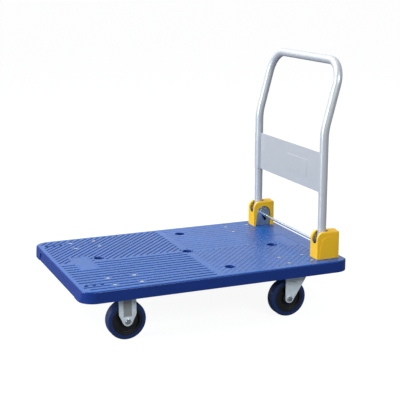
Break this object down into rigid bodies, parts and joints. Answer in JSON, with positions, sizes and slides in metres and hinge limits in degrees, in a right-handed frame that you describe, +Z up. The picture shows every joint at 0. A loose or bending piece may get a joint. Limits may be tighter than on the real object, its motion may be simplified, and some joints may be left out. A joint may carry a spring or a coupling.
{
  "type": "flatbed platform truck",
  "caption": "Flatbed platform truck with a moulded ribbed deck, fixed and swivel casters, and a tubular push handle that folds flat over the deck.",
  "frame": {"origin": "on the floor under the middle of the deck", "axes": "+X along the deck towards the push handle, +Y to the left of someone facing the handle end from the deck, +Z up"},
  "size_m": [0.91, 0.6, 0.841],
  "materials": {
    "deck_blue": "satin moulded blue plastic with ribs",
    "cover_yellow": "satin moulded yellow plastic",
    "handle_grey": "satin silver-grey powder coat",
    "zinc": "bright zinc plate",
    "zinc_blue": "blue passivated zinc plate",
    "rod_chrome": "bright plated round bar",
    "fastener": "zinc plated fasteners",
    "ball_steel": "polished bearing steel",
    "tyre_blue": "dark blue elastic rubber",
    "hub_black": "black moulded plastic",
    "nylon_dark": "dark moulded nylon",
    "spring_steel": "oiled spring steel"
  },
  "bodies": {
    "frame": {"deck": "deck_blue", "caster_bolts": "fastener", "caster_washers": "fastener", "caster_nuts": "fastener", "rigid_fork_right": "zinc", "rigid_fork_left": "zinc", "top_plate_right": "zinc", "top_plate_left": "zinc", "dust_cover_right": "zinc", "dust_cover_left": "zinc", "kingpin_right": "fastener", "kingpin_left": "fastener", "kingpin_nut_right": "fastener", "kingpin_nut_left": "fastener", "axle_sleeve_rear_right": "fastener", "axle_bolt_rear_right": "fastener", "axle_nut_rear_right": "fastener", "axle_sleeve_rear_left": "fastener", "axle_bolt_rear_left": "fastener", "axle_nut_rear_left": "fastener", "bracket_right": "zinc_blue", "bracket_left": "zinc_blue", "cover_right": "cover_yellow", "cover_left": "cover_yellow", "bracket_bolts": "fastener", "bracket_washers": "fastener", "bracket_nuts": "fastener", "pivot_bolts": "fastener", "pivot_nuts": "fastener", "stop_bolts": "fastener", "stop_sleeves": "fastener", "return_springs": "spring_steel"},
    "wheel_rear_right": {"tyre_rear_right": "tyre_blue", "hub_rear_right": "hub_black", "bearing_rear_right": "spring_steel"},
    "wheel_rear_left": {"tyre_rear_left": "tyre_blue", "hub_rear_left": "hub_black", "bearing_rear_left": "spring_steel"},
    "fork_right": {"swivel_fork_right": "zinc", "ball_ring_right": "ball_steel", "axle_sleeve_front_right": "fastener", "axle_bolt_front_right": "fastener", "axle_nut_front_right": "fastener"},
    "wheel_front_right": {"tyre_front_right": "tyre_blue", "hub_front_right": "hub_black", "bearing_front_right": "spring_steel"},
    "fork_left": {"swivel_fork_left": "zinc", "ball_ring_left": "ball_steel", "axle_sleeve_front_left": "fastener", "axle_bolt_front_left": "fastener", "axle_nut_front_left": "fastener"},
    "wheel_front_left": {"tyre_front_left": "tyre_blue", "hub_front_left": "hub_black", "bearing_front_left": "spring_steel"},
    "handle": {"handle_tube": "handle_grey", "handle_panel": "handle_grey", "pivot_bushes": "nylon_dark", "end_plugs": "nylon_dark"},
    "latch": {"release_bar": "rod_chrome", "bar_clips": "spring_steel"}
  },
  "joints": [
    {"name": "wheel_rear_right_spin", "type": "hinge", "parent": "frame", "child": "wheel_rear_right", "pos_m": [-0.294, -0.215, 0.0625], "axis": [0, 1, 0], "continuous": true},
    {"name": "wheel_rear_left_spin", "type": "hinge", "parent": "frame", "child": "wheel_rear_left", "pos_m": [-0.294, 0.215, 0.0625], "axis": [0, 1, 0], "continuous": true},
    {"name": "swivel_right", "type": "hinge", "parent": "frame", "child": "fork_right", "pos_m": [0.294, -0.215, 0.14], "axis": [0, 0, 1], "continuous": true},
    {"name": "wheel_front_right_spin", "type": "hinge", "parent": "fork_right", "child": "wheel_front_right", "pos_m": [0.263, -0.215, 0.0625], "axis": [0, 1, 0], "continuous": true},
    {"name": "swivel_left", "type": "hinge", "parent": "frame", "child": "fork_left", "pos_m": [0.294, 0.215, 0.14], "axis": [0, 0, 1], "continuous": true},
    {"name": "wheel_front_left_spin", "type": "hinge", "parent": "fork_left", "child": "wheel_front_left", "pos_m": [0.263, 0.215, 0.0625], "axis": [0, 1, 0], "continuous": true},
    {"name": "handle_fold", "type": "hinge", "parent": "frame", "child": "handle", "pos_m": [0.378, 0, 0.254], "axis": [0, -1, 0], "range_deg": [0, 90]},
    {"name": "bar_press", "type": "slide", "parent": "frame", "child": "latch", "axis": [0.4305, 0, -0.9026], "range_m": [0, 0.021], "stiffness_N_per_m": 1200, "springref_m": -0.01, "deforming": ["return_springs"]}
  ]
}
